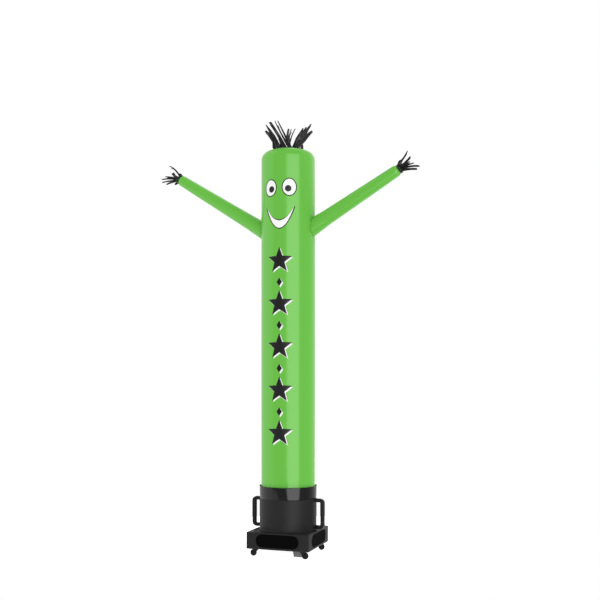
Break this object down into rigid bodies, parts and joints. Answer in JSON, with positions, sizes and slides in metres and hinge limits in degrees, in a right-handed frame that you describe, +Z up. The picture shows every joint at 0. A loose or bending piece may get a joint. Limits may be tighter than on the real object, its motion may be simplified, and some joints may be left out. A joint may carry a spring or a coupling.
{
  "type": "inflatable air dancer on blower",
  "caption": "Tall inflatable cloth tube figure with raised arms, ribbon hair and ribbon hands, standing on a square fan blower with castors.",
  "frame": {"origin": "on the floor, on the tube's axis, which is the middle of the blower's base", "axes": "+Z is up along the tube, +Y is the figure's back, so its face looks along -Y, and +X is on the viewer's right when they face it"},
  "size_m": [2.3356, 0.544, 3.6931],
  "materials": {
    "green_nylon": "satin",
    "black_nylon": "satin",
    "collar_nylon": "gloss",
    "blower_plastic": "matte",
    "grille_mesh": "matte",
    "foot_steel": "satin",
    "castor_metal": "satin",
    "castor_tyre": "matte"
  },
  "bodies": {
    "base": {"body": "green_nylon", "cap": "green_nylon", "arm_left": "green_nylon", "arm_right": "green_nylon", "hair": "black_nylon", "tassel_left": "black_nylon", "tassel_right": "black_nylon", "collar": "collar_nylon", "drum": "blower_plastic", "handle_left": "blower_plastic", "handle_right": "blower_plastic", "housing": "blower_plastic", "grille_front": "grille_mesh", "grille_back": "grille_mesh", "grille_left": "grille_mesh", "grille_right": "grille_mesh", "park_foot": "foot_steel"},
    "castor_fl": {"fork_fl": "castor_metal"},
    "castor_fr": {"fork_fr": "castor_metal"},
    "castor_bl": {"fork_bl": "castor_metal"},
    "castor_br": {"fork_br": "castor_metal"},
    "roller_fl": {"wheel_fl": "castor_tyre"},
    "roller_fr": {"wheel_fr": "castor_tyre"},
    "roller_bl": {"wheel_bl": "castor_tyre"},
    "roller_br": {"wheel_br": "castor_tyre"}
  },
  "joints": [
    {"name": "swivel_fr", "type": "hinge", "parent": "base", "child": "castor_fr", "pos_m": [0.197, -0.22, 0.06], "axis": [0, 0, 1], "continuous": true},
    {"name": "roll_fr", "type": "hinge", "parent": "castor_fr", "child": "roller_fr", "pos_m": [0.2283, -0.22665, 0.0275], "axis": [0.2079, 0.9781, 0], "continuous": true},
    {"name": "swivel_fl", "type": "hinge", "parent": "base", "child": "castor_fl", "pos_m": [-0.197, -0.22, 0.06], "axis": [0, 0, 1], "continuous": true},
    {"name": "roll_fl", "type": "hinge", "parent": "castor_fl", "child": "roller_fl", "pos_m": [-0.22869, -0.21555, 0.0275], "axis": [-0.1392, -0.9903, 0], "continuous": true},
    {"name": "swivel_br", "type": "hinge", "parent": "base", "child": "castor_br", "pos_m": [0.197, 0.22, 0.06], "axis": [0, 0, 1], "continuous": true},
    {"name": "roll_br", "type": "hinge", "parent": "castor_br", "child": "roller_br", "pos_m": [0.22869, 0.21555, 0.0275], "axis": [0.1392, 0.9903, 0], "continuous": true},
    {"name": "swivel_bl", "type": "hinge", "parent": "base", "child": "castor_bl", "pos_m": [-0.197, 0.22, 0.06], "axis": [0, 0, 1], "continuous": true},
    {"name": "roll_bl", "type": "hinge", "parent": "castor_bl", "child": "roller_bl", "pos_m": [-0.22851, 0.22556, 0.0275], "axis": [-0.1736, -0.9848, 0], "continuous": true}
  ]
}
